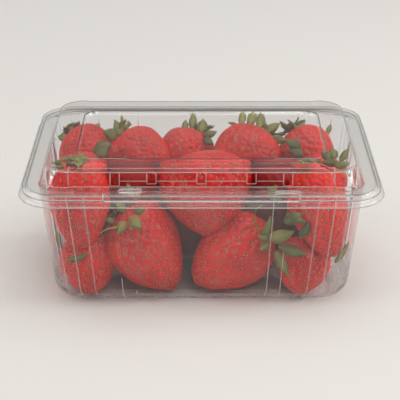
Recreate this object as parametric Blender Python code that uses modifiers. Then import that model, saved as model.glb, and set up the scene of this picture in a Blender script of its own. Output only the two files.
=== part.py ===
# Hinged clear punnet filled with strawberries: a thin fluted tub, a shallow vented lid on a
# living hinge along the back rim, and the heap of berries with their leaves.
# The opening edge faces -Y, the width runs along X, and the base stands on Z = 0.

import math

import bmesh
import bpy
from mathutils import Matrix, Vector

MM = 0.001

# Overall sizes in metres
RIM_HALF_WIDTH = 93.5 * MM          # to the outer edge of the tub's rim
WIDTH_OVER_DEPTH = 28.7 * MM        # every outline is this much shorter front to back, each side
SHEET = 0.6 * MM                    # thickness of the formed sheet
HEIGHT = 78.0 * MM

# Tub
BASE_FILLET = 12.0 * MM
BASE_HALF_WIDTH = 77.4 * MM
WALL_TOP_HALF_WIDTH = 83.2 * MM
WALL_TOP = 66.4 * MM
WALL_CORNER = 13.0 * MM
BASE_PANEL_RISE = 0.9 * MM
BASE_PANEL_SLOPE = 1.5 * MM
BASE_RIM_WIDTH = 2.0 * MM
FILLET_ANGLES = (30, 60)
RIM_TOP = 68.45 * MM                # top of the tub's rim, under the lid's ledge
RIM_WALL_HALF_WIDTH = 89.65 * MM    # upright outer wall of the rim, inside the lid's bead
RIM_DRAFT = 0.15 * MM
RIM_EDGE = 0.45 * MM
RIM_STEP = 0.7 * MM                 # from the rim's top down to the inner wall
RIM_ROOT = 65.7 * MM                # where the skirt leaves the rim
SKIRT_DROP = 2.0 * MM
SKIRT_INSET = 0.35 * MM             # room for the sheet's thickness at the sloping edge
RIM_CORNER = 16.9 * MM
FLUTE_DEPTH = 1.0 * MM
FLUTE_TOP = 64.9 * MM

# Lid
LIP_HEIGHT = 67.2 * MM
LIP_REACH = 0.5 * MM
TAB_REACH = 1.3 * MM                # the lip stands out further along the middle of the front
BEAD_HALF_WIDTH = 91.1 * MM
LEDGE_HEIGHT = 70.0 * MM
LID_FOOT_HALF_WIDTH = 82.0 * MM
LID_TOP_HALF_WIDTH = 79.7 * MM
LID_CORNER = 13.0 * MM
LID_STEP = 1.0 * MM                 # the middle of the lid's long walls is set back by this
GROOVE_DEPTH = 0.8 * MM
PANEL_HALF_WIDTH = 65.0 * MM
PANEL_HALF_DEPTH = 34.0 * MM
PANEL_DEPTH = 1.6 * MM
PANEL_SLOPE = 1.5 * MM
PANEL_CORNER = 8.0 * MM
TOP_BORDER = 5.0 * MM               # from the lid's top edge to the end of the front groove
VENT_CENTRES = (-43.7 * MM, -25.2 * MM, 0.0, 25.2 * MM, 43.7 * MM)
VENT_WIDTH = 4.6 * MM
VENT_TOP = 77.0 * MM
VENT_FOOT = (70.6 * MM, 71.6 * MM, 71.6 * MM, 71.6 * MM, 70.6 * MM)
VENT_REACH = 5.0 * MM               # of the cutter, through the wall
BUTTON_CENTRE = 40.0 * MM
BUTTON_INSET = 3.4 * MM
BUTTON_SIZE = (11.0 * MM, 3.6 * MM, 1.0 * MM)
BUTTON_TAPER = (0.82, 0.6, 1.0)

# Hinge
HINGE_HALF_LENGTH = 68.0 * MM
HINGE_FADE = 6.0 * MM

# Stations along a side as a share of its straight half length, with 1 inside a flute and 0 outside
LONG_FLUTES = ((0.526, 0.635), (0.855, 0.979))
SHORT_FLUTES = ((0.36, 0.56),)
FLUTE_SLOPE = 0.012
LID_BREAKS = (0.66, 0.98)
CORNER_STEPS = 5

# Berries
WALL_GAP = 0.5 * MM
SHOWN_SIDES = (12, 8)               # segments and rings of a berry that shows
HIDDEN_SIDES = (8, 6)
LEAF_THICKNESS = 0.7 * MM
LEAF_LENGTH = 0.72                  # share of the berry's radius
LEAF_WIDTH = 0.545
CORE_SIZE = (114 * MM, 50 * MM, 38 * MM)
CORE_CENTRE = (0.0, 2 * MM, 30 * MM)
CORE_BEVEL = 12 * MM


def clear_scene():
    for obj in list(bpy.data.objects):
        bpy.data.objects.remove(obj, do_unlink=True)


def material(name, colour, roughness, transmission=0.0):
    mat = bpy.data.materials.new(name)
    mat.use_nodes = True
    shader = mat.node_tree.nodes["Principled BSDF"]
    shader.inputs["Base Color"].default_value = (*colour, 1.0)
    shader.inputs["Roughness"].default_value = roughness
    shader.inputs["Metallic"].default_value = 0.0
    shader.inputs["Transmission Weight"].default_value = transmission
    return mat


def add_object(name, bm, mat, collection):
    mesh = bpy.data.meshes.new(name)
    bm.to_mesh(mesh)
    bm.free()
    mesh.materials.append(mat)
    obj = bpy.data.objects.new(name, mesh)
    collection.objects.link(obj)
    return obj


def flute_stations(bands):
    """Stations from one end of a side to the other, as (share, weight inside a flute)."""
    half = []
    for low, high in bands:
        half += [(low - FLUTE_SLOPE, 0), (low + FLUTE_SLOPE, 1)]
        half += [(high - FLUTE_SLOPE, 1), (high + FLUTE_SLOPE, 0)]
    return [(-share, weight) for share, weight in reversed(half)] + half


def break_stations(breaks):
    """Stations with two points at each break, as (share, weight between the outer breaks)."""
    half = []
    for share in breaks:
        inner_weight = 1
        outer_weight = 0 if share == breaks[-1] else 1
        half += [(share - FLUTE_SLOPE, inner_weight), (share + FLUTE_SLOPE, outer_weight)]
    return [(-share, weight) for share, weight in reversed(half)] + half


def outline(half_x, half_y, radius, long_stations, short_stations):
    """Rounded rectangle from the front left corner on, as (point, outward normal, weight)."""
    sides = (
        (Vector((0, -1)), Vector((1, 0)), half_x, half_y, long_stations),
        (Vector((1, 0)), Vector((0, 1)), half_y, half_x, short_stations),
        (Vector((0, 1)), Vector((-1, 0)), half_x, half_y, long_stations),
        (Vector((-1, 0)), Vector((0, -1)), half_y, half_x, short_stations),
    )
    points = []
    for normal, along, half_length, distance, stations in sides:
        straight = half_length - radius
        for share, weight in stations:
            points.append((along * straight * share + normal * distance, normal, weight))
        centre = along * straight + normal * (distance - radius)
        for step in range(CORNER_STEPS + 1):
            angle = math.pi / 2 * step / CORNER_STEPS
            direction = normal * math.cos(angle) + along * math.sin(angle)
            points.append((centre + direction * radius, direction, 0))
    return points


def hinge_weight(point):
    """1 along the straight hinge at the back, fading to 0 beside it."""
    if point.y < 0:
        return 0.0
    beyond = (abs(point.x) - HINGE_HALF_LENGTH) / HINGE_FADE
    return min(1.0, max(0.0, 1.0 - beyond))


def ring(half_x, radius, height, stations, shift):
    """One level of a wall: shift gives (outward move, height change) for a point and its weight."""
    points = []
    for point, normal, weight in outline(half_x, half_x - WIDTH_OVER_DEPTH, radius, *stations):
        outward, rise = shift(point, normal, weight)
        moved = point + normal * outward
        points.append(Vector((moved.x, moved.y, height + rise)))
    return points


def loft(rings, close_last):
    """Open surface through rings of equal length, with the last one closed by a face if asked."""
    bm = bmesh.new()
    loops = [[bm.verts.new(point) for point in points] for points in rings]
    for lower, upper in zip(loops, loops[1:]):
        for i in range(len(lower)):
            j = (i + 1) % len(lower)
            bm.faces.new((lower[i], lower[j], upper[j], upper[i]))
    if close_last:
        bm.faces.new(loops[-1])
    return bm


def thicken(obj):
    solid = obj.modifiers.new("Sheet", "SOLIDIFY")
    solid.thickness = SHEET
    solid.offset = -1.0
    solid.use_even_offset = True
    solid.thickness_clamp = 0.0


def still(point, normal, weight):
    return 0.0, 0.0


def wall_half_width(height):
    """Half width of the tub's outer wall above the base fillet."""
    share = (height - BASE_FILLET) / (WALL_TOP - BASE_FILLET)
    low = BASE_HALF_WIDTH + 1.0 * MM
    return low + (WALL_TOP_HALF_WIDTH - low) * share


def build_tub(mat, collection):
    stations = (flute_stations(LONG_FLUTES), flute_stations(SHORT_FLUTES))

    def fluted(point, normal, weight):
        return -FLUTE_DEPTH * weight, 0.0

    def skirt(point, normal, weight):
        back = hinge_weight(point)
        return SKIRT_INSET * back, SKIRT_DROP * back

    wall_low = wall_half_width(BASE_FILLET)
    fillet_centre = wall_low - BASE_FILLET
    foot = fillet_centre - BASE_RIM_WIDTH
    rim_wall = RIM_WALL_HALF_WIDTH
    levels = [
        (RIM_HALF_WIDTH - SKIRT_INSET, RIM_CORNER + 2.0 * MM, RIM_ROOT - SKIRT_DROP, skirt),
        (rim_wall, RIM_CORNER, RIM_ROOT, still),
        (rim_wall - RIM_DRAFT, RIM_CORNER, RIM_TOP - RIM_EDGE, still),
        (rim_wall - RIM_DRAFT - RIM_EDGE, RIM_CORNER, RIM_TOP, still),
        (WALL_TOP_HALF_WIDTH + RIM_STEP, WALL_CORNER + 0.5 * MM, RIM_TOP, still),
        (WALL_TOP_HALF_WIDTH, WALL_CORNER, RIM_TOP - RIM_STEP, still),
        (wall_half_width(FLUTE_TOP), WALL_CORNER, FLUTE_TOP, fluted),
        (wall_low, WALL_CORNER, BASE_FILLET, fluted),
    ]
    for angle in FILLET_ANGLES:
        turn = math.radians(angle)
        half = fillet_centre + BASE_FILLET * math.cos(turn)
        height = BASE_FILLET * (1 - math.sin(turn))
        levels.append((half, WALL_CORNER - (wall_low - half) * 0.5, height, still))
    levels += [
        (fillet_centre, WALL_CORNER - 5.5 * MM, 0.0, still),
        (foot, WALL_CORNER - 6.0 * MM, 0.0, still),
        (foot - BASE_PANEL_SLOPE, WALL_CORNER - 6.5 * MM, BASE_PANEL_RISE, still),
    ]
    rings = [ring(half, radius, z, stations, shift) for half, radius, z, shift in levels]
    bm = loft(rings, close_last=True)
    bmesh.ops.reverse_faces(bm, faces=bm.faces)
    obj = add_object("tub", bm, mat, collection)
    thicken(obj)
    return obj


def build_lid(mat, collection, cutters):
    stations = (break_stations(LID_BREAKS), [(-0.5, 0), (0.5, 0)])
    tab_end = LID_BREAKS[0] * (BEAD_HALF_WIDTH - RIM_CORNER)

    def lip(point, normal, weight):
        back = hinge_weight(point)
        front = 1.0 if point.y < 0 and normal.y < -0.99 and abs(point.x) < tab_end else 0.0
        reach = RIM_HALF_WIDTH - BEAD_HALF_WIDTH
        return LIP_REACH + (TAB_REACH - LIP_REACH) * front + (reach - LIP_REACH) * back, 0.0

    def stepped(point, normal, weight):
        return -LID_STEP * weight, 0.0

    def grooved(point, normal, weight):
        front = weight if normal.y < -0.99 else 0.0
        return -LID_STEP * weight, -GROOVE_DEPTH * front

    foot = LID_FOOT_HALF_WIDTH
    top = LID_TOP_HALF_WIDTH
    groove_inner = top - TOP_BORDER
    levels = [
        (BEAD_HALF_WIDTH, RIM_CORNER, LIP_HEIGHT, lip),
        (BEAD_HALF_WIDTH, RIM_CORNER, LIP_HEIGHT + 0.1 * MM, still),
        (BEAD_HALF_WIDTH, RIM_CORNER, LEDGE_HEIGHT - 0.5 * MM, still),
        (BEAD_HALF_WIDTH - 0.6 * MM, RIM_CORNER - 0.4 * MM, LEDGE_HEIGHT, still),
        (foot + 0.4 * MM, LID_CORNER, LEDGE_HEIGHT, stepped),
        (foot, LID_CORNER, LEDGE_HEIGHT + 0.4 * MM, stepped),
        (top + 0.2 * MM, LID_CORNER, HEIGHT - 0.7 * MM, grooved),
        (top - 0.6 * MM, LID_CORNER - 0.5 * MM, HEIGHT, grooved),
        (groove_inner, LID_CORNER - 2.0 * MM, HEIGHT, grooved),
        (groove_inner - LID_STEP - 0.9 * MM, LID_CORNER - 2.0 * MM, HEIGHT, still),
    ]
    rings = [ring(half, radius, z, stations, shift) for half, radius, z, shift in levels]
    panel_levels = (
        (0.0, PANEL_CORNER, HEIGHT),
        (PANEL_SLOPE, PANEL_CORNER - PANEL_SLOPE, HEIGHT - PANEL_DEPTH),
    )
    for inset, radius, height in panel_levels:
        half_x = PANEL_HALF_WIDTH - inset
        half_y = PANEL_HALF_DEPTH - inset
        points = outline(half_x, half_y, radius, *stations)
        rings.append([Vector((point.x, point.y, height)) for point, normal, weight in points])
    bm = loft(rings, close_last=True)
    obj = add_object("lid", bm, mat, collection)
    thicken(obj)
    add_vents(obj, cutters)
    add_buttons(obj, cutters)
    return obj


def add_vents(lid, cutters):
    """Five upright slots through the lid's front wall."""
    bm = bmesh.new()
    wall_y = -(LID_FOOT_HALF_WIDTH - WIDTH_OVER_DEPTH - LID_STEP) + 1.0 * MM
    for centre, foot in zip(VENT_CENTRES, VENT_FOOT):
        middle = Vector((centre, wall_y, (foot + VENT_TOP) / 2))
        size = Vector((VENT_WIDTH, VENT_REACH, VENT_TOP - foot))
        bmesh.ops.create_cube(bm, size=1.0, matrix=Matrix.LocRotScale(middle, None, size))
    cutter = add_object("vent_cutter", bm, lid.data.materials[0], cutters)
    cutter.hide_render = True
    cutter.display_type = "WIRE"
    cut = lid.modifiers.new("Vents", "BOOLEAN")
    cut.operation = "DIFFERENCE"
    cut.object = cutter


def add_buttons(lid, cutters):
    """Two low catches formed on the ledge at the front."""
    bm = bmesh.new()
    ledge_y = -(BEAD_HALF_WIDTH - WIDTH_OVER_DEPTH) + BUTTON_INSET
    for side in (-1, 1):
        middle = Vector((side * BUTTON_CENTRE, ledge_y, LEDGE_HEIGHT + BUTTON_SIZE[2] / 2 - SHEET / 2))
        size = Vector(BUTTON_SIZE)
        made = bmesh.ops.create_cube(bm, size=1.0, matrix=Matrix.LocRotScale(middle, None, size))
        top = [v for v in made["verts"] if v.co.z > middle.z]
        bmesh.ops.scale(bm, verts=top, vec=BUTTON_TAPER, space=Matrix.Translation(-middle))
    catch = add_object("catch_guide", bm, lid.data.materials[0], cutters)
    catch.hide_render = True
    catch.display_type = "WIRE"
    join = lid.modifiers.new("Catches", "BOOLEAN")
    join.operation = "UNION"
    join.object = catch


# Berries as (centre, radius, half length, taper, direction of the tip, leaves), in millimetres.
# The first twelve show from the front, the rest fill the middle and the back below them.
BERRIES = (
    ((-28.6, -29, 22.6), 20.5, 25.0, 0.34, (0.62, -0.45, -0.80), 5),
    ((16.0, -28, 19.6), 20.0, 24.5, 0.30, (-0.78, -0.45, -0.45), 6),
    ((-60.4, -32, 15.6), 15.5, 17.0, 0.25, (0.15, -0.75, -0.60), 4),
    ((54.0, -33, 15.0), 14.5, 16.0, 0.25, (-0.20, -0.75, -0.60), 4),
    ((-63.5, -34, 50.3), 16.0, 23.0, 0.30, (0.02, -0.20, -1.00), 5),
    ((62.4, -34, 46.8), 15.5, 24.5, 0.22, (0.30, -0.20, -1.00), 5),
    ((2.5, -20, 51.9), 24.5, 22.0, 0.30, (0.12, -0.50, -0.90), 0),
    ((-62.4, 24, 54.6), 15.5, 18.0, 0.25, (0.60, -0.50, -0.50), 5),
    ((-33.8, 20, 51.4), 18.5, 20.0, 0.25, (0.50, -0.50, -0.60), 6),
    ((-9.5, 31, 49.1), 17.0, 18.0, 0.25, (-0.40, -0.50, -0.60), 5),
    ((23.4, 20, 52.0), 20.0, 21.0, 0.25, (-0.60, -0.50, -0.50), 6),
    ((61.2, 24, 54.0), 15.5, 18.0, 0.25, (0.50, -0.50, -0.60), 5),
    ((-60.0, 26, 19.5), 17.5, 19.0, 0.25, (0.30, 0.60, -0.60), 0),
    ((-24.0, 27, 18.5), 18.0, 20.0, 0.28, (-0.60, 0.50, -0.50), 0),
    ((11.0, 28, 17.5), 17.0, 18.0, 0.25, (0.50, 0.60, -0.40), 0),
    ((42.0, 27, 19.0), 16.5, 20.0, 0.25, (0.10, 0.50, -0.80), 0),
    ((62.0, 2, 22.0), 15.0, 19.0, 0.25, (0.30, -0.30, -0.90), 0),
    ((-60.0, -3, 25.0), 14.5, 19.0, 0.25, (-0.30, 0.20, -0.90), 0),
    ((-63.5, -4, 51.5), 14.5, 16.0, 0.25, (0.60, 0.30, -0.80), 0),
    ((-36.0, -3, 46.0), 15.5, 17.0, 0.25, (0.80, 0.10, -0.50), 0),
    ((40.5, -5, 46.0), 15.5, 18.0, 0.25, (-0.30, -0.20, -0.90), 0),
    ((64.0, -3, 50.0), 14.0, 16.0, 0.25, (-0.60, 0.30, -0.80), 0),
)
SHOWN_BERRIES = 12


def hold_inside(point, gap):
    """The point moved in, where needed, so that it lies inside the shut punnet."""
    height = min(max(point.z, SHEET + BASE_PANEL_RISE + gap), HEIGHT - PANEL_DEPTH - SHEET - gap)
    lid_half = LID_TOP_HALF_WIDTH - LID_STEP
    half = min(wall_half_width(height) - FLUTE_DEPTH, lid_half if height > RIM_ROOT else 1.0)
    if height < BASE_FILLET:
        half -= BASE_FILLET - math.sqrt(BASE_FILLET ** 2 - (BASE_FILLET - height) ** 2)
    half -= SHEET + gap
    radius = WALL_CORNER - 1.0 * MM
    straight = Vector((half - radius, half - WIDTH_OVER_DEPTH - radius))
    sign = Vector((math.copysign(1, point.x), math.copysign(1, point.y)))
    past = Vector((abs(point.x) - straight.x, abs(point.y) - straight.y))
    if past.x > 0 and past.y > 0 and past.length > radius:
        past *= radius / past.length
    past = Vector((min(past.x, radius), min(past.y, radius)))
    flat = Vector((sign.x * (straight.x + past.x), sign.y * (straight.y + past.y)))
    return Vector((flat.x, flat.y, height))


def berry_frame(centre, direction):
    """Matrix whose Z runs from the stalk to the tip of a berry."""
    turn = Vector(direction).to_track_quat("Z", "X")
    return Matrix.LocRotScale(Vector(centre) * MM, turn, None)


def berry_radius(share, taper):
    """Radius of a berry, as a share of its largest, at a height from -1 at the stalk to 1 at the tip."""
    widest = (1 - math.sqrt(1 + 8 * taper ** 2)) / (4 * taper)
    largest = math.sqrt(1 - widest ** 2) * (1 - taper * widest)
    return math.sqrt(max(0.0, 1 - share ** 2)) * (1 - taper * share) / largest


def berry_mesh(berry, segments, rings):
    centre, radius, half_length, taper, direction, leaves = berry
    bm = bmesh.new()
    bmesh.ops.create_uvsphere(bm, u_segments=segments, v_segments=rings, radius=1.0)
    place = berry_frame(centre, direction)
    for vert in bm.verts:
        share = vert.co.z
        around = Vector((vert.co.x, vert.co.y))
        if around.length > 0.01:
            around = around.normalized() * berry_radius(share, taper) * radius
        shaped = Vector((around.x, around.y, share * half_length)) * MM
        vert.co = hold_inside(place @ shaped, WALL_GAP)
    return bm


def leaf_mesh(berry, index):
    """One thin wavy leaf of a calyx, from inside the berry's shoulder outwards."""
    centre, radius, half_length, taper, direction, leaves = berry
    bm = bmesh.new()
    bmesh.ops.create_grid(bm, x_segments=3, y_segments=1, size=0.5)
    bmesh.ops.triangulate(bm, faces=bm.faces)
    place = berry_frame(centre, direction)
    turn = Matrix.Rotation(math.tau * (index + 0.3 * math.sin(5.0 * index)) / leaves, 4, "Z")
    length = radius * (LEAF_LENGTH + 0.14 * math.sin(3.0 * index + radius))
    lift = 0.35 + 0.3 * math.sin(2.0 * index + half_length)
    for vert in bm.verts:
        along = vert.co.x + 0.5
        width = LEAF_WIDTH * radius * (math.sin(math.pi * (0.18 + 0.78 * along)) ** 0.8)
        reach = 1.5 + length * along
        wave = 0.8 * math.sin(math.tau * along + index)
        drop = half_length * (1 - 0.55 * along ** 2) - wave + lift * length * along ** 1.5
        shaped = Vector((reach, vert.co.y * width, -drop - 0.4)) * MM
        vert.co = hold_inside(place @ turn @ shaped, WALL_GAP + LEAF_THICKNESS)
    bmesh.ops.recalc_face_normals(bm, faces=bm.faces)
    bmesh.ops.solidify(bm, geom=bm.faces[:], thickness=LEAF_THICKNESS)
    bmesh.ops.recalc_face_normals(bm, faces=bm.faces)
    return bm


def core_mesh():
    """Smaller rounded block that joins the berries behind the ones that show."""
    bm = bmesh.new()
    place = Matrix.LocRotScale(Vector(CORE_CENTRE), None, Vector(CORE_SIZE))
    bmesh.ops.create_cube(bm, size=1.0, matrix=place)
    bmesh.ops.bevel(bm, geom=bm.edges[:], offset=CORE_BEVEL, segments=2, profile=0.5, affect="EDGES")
    return bm


def build_heap(berry_mat, collection):
    pieces = bpy.data.collections.new("heap_pieces")
    bpy.context.scene.collection.children.link(pieces)
    for number, berry in enumerate(BERRIES):
        shown = number < SHOWN_BERRIES
        segments, rings = SHOWN_SIDES if shown else HIDDEN_SIDES
        add_object(f"berry_{number}", berry_mesh(berry, segments, rings), berry_mat, pieces)
        for index in range(berry[5]):
            add_object(f"leaf_{number}_{index}", leaf_mesh(berry, index), berry_mat, pieces)
    heap = add_object("strawberries", core_mesh(), berry_mat, collection)
    join = heap.modifiers.new("Fuse", "BOOLEAN")
    join.operation = "UNION"
    join.operand_type = "COLLECTION"
    join.collection = pieces
    join.solver = "MANIFOLD"
    bpy.context.view_layer.update()
    evaluated = heap.evaluated_get(bpy.context.evaluated_depsgraph_get())
    fused = bpy.data.meshes.new_from_object(evaluated)
    heap.modifiers.clear()
    heap.data = fused
    for obj in list(pieces.objects):
        bpy.data.objects.remove(obj, do_unlink=True)
    bpy.data.collections.remove(pieces)
    drop_scraps(heap)
    return heap


def drop_scraps(obj):
    """Keeps the largest connected piece of a fused mesh."""
    bm = bmesh.new()
    bm.from_mesh(obj.data)
    unseen = set(bm.verts)
    groups = []
    while unseen:
        group = []
        stack = [unseen.pop()]
        while stack:
            vert = stack.pop()
            group.append(vert)
            for edge in vert.link_edges:
                other = edge.other_vert(vert)
                if other in unseen:
                    unseen.remove(other)
                    stack.append(other)
        groups.append(group)
    groups.sort(key=len)
    scraps = [vert for group in groups[:-1] for vert in group]
    bmesh.ops.delete(bm, geom=scraps, context="VERTS")
    bm.to_mesh(obj.data)
    bm.free()


def main():
    clear_scene()
    parts = bpy.data.collections.new("strawberry_punnet")
    cutters = bpy.data.collections.new("cutters")
    bpy.context.scene.collection.children.link(parts)
    bpy.context.scene.collection.children.link(cutters)
    clear_plastic = material("clear_plastic", (0.92, 0.95, 0.94), 0.05, 1.0)
    berry_skin = material("berry_skin", (0.62, 0.04, 0.03), 0.3)
    build_tub(clear_plastic, parts)
    build_lid(clear_plastic, parts, cutters)
    build_heap(berry_skin, parts)


main()
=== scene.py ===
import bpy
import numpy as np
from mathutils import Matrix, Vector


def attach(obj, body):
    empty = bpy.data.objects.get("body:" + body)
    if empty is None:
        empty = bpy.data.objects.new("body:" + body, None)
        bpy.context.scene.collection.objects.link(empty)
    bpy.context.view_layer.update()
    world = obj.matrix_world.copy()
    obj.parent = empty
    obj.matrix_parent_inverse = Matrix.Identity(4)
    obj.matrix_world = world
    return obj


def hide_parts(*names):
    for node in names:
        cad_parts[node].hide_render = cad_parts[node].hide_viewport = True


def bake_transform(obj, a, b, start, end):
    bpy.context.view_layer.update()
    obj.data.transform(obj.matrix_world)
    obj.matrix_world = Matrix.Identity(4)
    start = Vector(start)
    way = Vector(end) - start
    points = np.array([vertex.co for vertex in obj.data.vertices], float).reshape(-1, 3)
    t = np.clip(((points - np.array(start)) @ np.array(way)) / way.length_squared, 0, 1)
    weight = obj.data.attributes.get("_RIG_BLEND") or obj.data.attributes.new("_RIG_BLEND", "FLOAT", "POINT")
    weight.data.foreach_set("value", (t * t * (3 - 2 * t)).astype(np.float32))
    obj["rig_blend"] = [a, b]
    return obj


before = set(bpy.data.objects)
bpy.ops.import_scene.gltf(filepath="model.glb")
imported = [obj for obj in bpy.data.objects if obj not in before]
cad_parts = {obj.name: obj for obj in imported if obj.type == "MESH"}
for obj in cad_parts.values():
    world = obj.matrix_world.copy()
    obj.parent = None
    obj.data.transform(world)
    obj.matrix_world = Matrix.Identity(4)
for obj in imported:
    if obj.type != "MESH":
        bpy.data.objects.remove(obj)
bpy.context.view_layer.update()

# Punnet of strawberries: clear hinged clamshell, fluted tub, vented lid, fruit with calyxes.
# All sizes in the dictionaries are millimetres, the scene itself is in metres.
import math
import random
import bpy
import bmesh
from mathutils import Matrix, Vector, kdtree, noise

mm = 0.001


# helpers
def newObject(name, data):
    obj = bpy.data.objects.new(name, data)
    bpy.context.scene.collection.objects.link(obj)
    return obj


def finishObject(name, bm, material):
    mesh = bpy.data.meshes.new(name)
    bm.to_mesh(mesh)
    bm.free()
    mesh.materials.append(material)
    for face in mesh.polygons:
        face.use_smooth = True
    return newObject(name, mesh)


def smoothStep(low, high, value):
    t = min(1.0, max(0.0, (value - low) / (high - low)))
    return t * t * (3 - 2 * t)


# extrudes a chain or ring of edges, and gives back its new vertices, in the same order, and its new edges
def extrudeRing(bm, edges, loop):
    grown = bmesh.ops.extrude_edge_only(bm, edges=edges)["geom"]
    fresh = {g for g in grown if isinstance(g, bmesh.types.BMVert)}
    loop = [next(e.other_vert(v) for e in v.link_edges if e.other_vert(v) in fresh) for v in loop]
    return loop, [g for g in grown if isinstance(g, bmesh.types.BMEdge) and all(v in fresh for v in g.verts)]


# one socket of a shader, so that sums can be written as sums
class Wire:
    def __init__(self, paint, socket):
        self.paint = paint
        self.socket = socket

    def __add__(self, other): return self.paint.sum("ADD", self, other)
    def __radd__(self, other): return self.paint.sum("ADD", other, self)
    def __sub__(self, other): return self.paint.sum("SUBTRACT", self, other)
    def __rsub__(self, other): return self.paint.sum("SUBTRACT", other, self)
    def __mul__(self, other): return self.paint.sum("MULTIPLY", self, other)
    def __rmul__(self, other): return self.paint.sum("MULTIPLY", other, self)
    def __truediv__(self, other): return self.paint.sum("DIVIDE", self, other)
    def __rtruediv__(self, other): return self.paint.sum("DIVIDE", other, self)


class Paint:
    def __init__(self, name):
        self.material = bpy.data.materials.new(name)
        self.material.use_nodes = True
        self.tree = self.material.node_tree
        self.tree.nodes.clear()

    def node(self, kind, settings=None, **inputs):
        made = self.tree.nodes.new("ShaderNode" + kind)
        for key, value in (settings or {}).items():
            setattr(made, key, value)
        for key, value in inputs.items():
            at = int(key[1:]) if key[0] == "n" and key[1:].isdigit() else key.replace("_", " ")
            if isinstance(value, Wire):
                self.tree.links.new(value.socket, made.inputs[at])
            else:
                made.inputs[at].default_value = value
        return made

    def wire(self, made, name=0):
        return Wire(self, made.outputs[name])

    def where(self):
        return self.wire(self.node("TexCoord"), "Object")

    def layer(self, name):
        return self.wire(self.node("Attribute", {"attribute_name": name}), "Fac")

    def sum(self, how, a, b):
        return self.wire(self.node("Math", {"operation": how}, n0=a, n1=b))

    def ramp(self, value, low, high, start=0.0, end=1.0):
        made = self.node("MapRange", {"interpolation_type": "SMOOTHSTEP"}, Value=value,
                         From_Min=low, From_Max=high, To_Min=start, To_Max=end)
        return self.wire(made)

    def mix(self, factor, a, b):
        return self.wire(self.node("Mix", {"data_type": "RGBA"}, n0=factor, n6=a, n7=b), 2)

    def bump(self, strength, distance, height):
        return self.wire(self.node("Bump", None, Strength=strength, Distance=distance, Height=height))

    def noise(self, where, scale, detail=2.0, roughness=0.5):
        return self.wire(self.node("TexNoise", None, Vector=where, Scale=scale, Detail=detail, Roughness=roughness))

    def output(self, made):
        end = self.node("OutputMaterial")
        self.tree.links.new(made.outputs[0], end.inputs["Surface"])
        return self.material


# camera, light and floor
camera = {"at": (-0.73, -638.47, 336.18), "lookAt": (-0.73, 0.0, 38.46), "lens": 115.03}
studio = {
    "world": (0.20, 0.20, 0.20), "floor": (0.80, 0.785, 0.76), "lampColour": (1.0, 0.985, 0.96),
    "floorHalf": 2.6, "bend": 0.6, "backdrop": 2.2,
    "lamps": (  # name, place, point it faces, size, power
        ("topLamp", (0.0, 0.25, 1.5), (0.0, 0.1, 0.0), (2.4, 2.0), 19.6),
        ("keyLamp", (1.05, 0.10, 0.95), (0.0, 0.0, 0.04), (0.22, 0.22), 3.4),
        ("frontLamp", (0.35, -0.95, 1.15), (0.0, 0.0, 0.04), (0.5, 0.5), 2.6),
        ("leftLamp", (-1.5, -0.35, 0.55), (0.0, 0.0, 0.05), (0.5, 0.9), 5.4),
        ("rightLamp", (1.5, -0.35, 0.55), (0.0, 0.0, 0.05), (0.5, 0.9), 5.4),
    ),
}


def makeCamera():
    data = bpy.data.cameras.new("camera")
    data.lens = camera["lens"]
    data.sensor_width = 36.0
    data.clip_start = 0.01
    obj = newObject("camera", data)
    obj.location = Vector(camera["at"]) * mm
    looking = Vector(camera["lookAt"]) * mm - obj.location
    obj.rotation_euler = looking.to_track_quat("-Z", "Y").to_euler()
    bpy.context.scene.camera = obj


def makeLamp(name, at, lookAt, size, power):
    data = bpy.data.lights.new(name, "AREA")
    data.shape = "RECTANGLE"
    data.size, data.size_y = size
    data.energy = power
    data.color = studio["lampColour"]
    obj = newObject(name, data)
    obj.location = at
    obj.rotation_euler = (Vector(lookAt) - Vector(at)).to_track_quat("-Z", "Y").to_euler()


def makeStudio():
    world = bpy.data.worlds.new("studio")
    bpy.context.scene.world = world
    world.use_nodes = True
    world.node_tree.nodes["Background"].inputs["Color"].default_value = (*studio["world"], 1.0)
    world.node_tree.nodes["Background"].inputs["Strength"].default_value = 1.0
    bpy.context.scene.view_settings.view_transform = "Standard"
    bpy.context.scene.view_settings.look = "None"
    # floor that rises into a backdrop behind the punnet
    bm = bmesh.new()
    half, bend = studio["floorHalf"], studio["bend"]
    bmesh.ops.create_grid(bm, x_segments=1, y_segments=1, size=half)
    line = [v for v in bm.verts if v.co.y > half - 0.01]
    back = [e for e in bm.edges if all(v in line for v in e.verts)]
    for turn in range(1, 9):
        line, back = extrudeRing(bm, back, line)
        angle = math.radians(90 * turn / 8)
        for vert in line:
            vert.co.y = half + bend * math.sin(angle)
            vert.co.z = bend * (1 - math.cos(angle))
    line, back = extrudeRing(bm, back, line)
    for vert in line:
        vert.co.z += studio["backdrop"]
    bmesh.ops.recalc_face_normals(bm, faces=bm.faces)
    paint = Paint("floorPaint")
    where = paint.where()
    cloud = paint.noise(where, 3.0, 3.0)
    r, g, b = studio["floor"]
    colour = paint.mix(cloud, (r * 0.985, g * 0.985, b * 0.985, 1), (r, g, b, 1))
    skin = paint.node("BsdfPrincipled", None, Base_Color=colour, Roughness=0.6)
    floor = finishObject("floor", bm, paint.output(skin))
    for lamp in studio["lamps"]:
        makeLamp(*lamp)


makeCamera()
makeStudio()
print("camera and studio ready")


# clear plastic
plastic = {
    "tint": (0.996, 0.998, 0.997), "shade": (0.965, 0.967, 0.965), "ior": 1.44, "roughness": 0.035,
    "crumpleFrom": 0.064, "crumpleTop": 0.030,
    # whitish rib colour: painted highlight for the ribs, rolled edges and creases
    "rib": (0.95, 0.95, 0.94), "ribClear": 0.58, "ribRadius": 0.24,
    # share of the clear band in the lid's front wall, and where it fades in: y, foot, top, end
    "clearBand": 0.7, "bandFade": ((-0.0485, -0.0497), (0.0703, 0.0709), (0.0772, 0.0766), (0.0690, 0.0670)),
}


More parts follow.
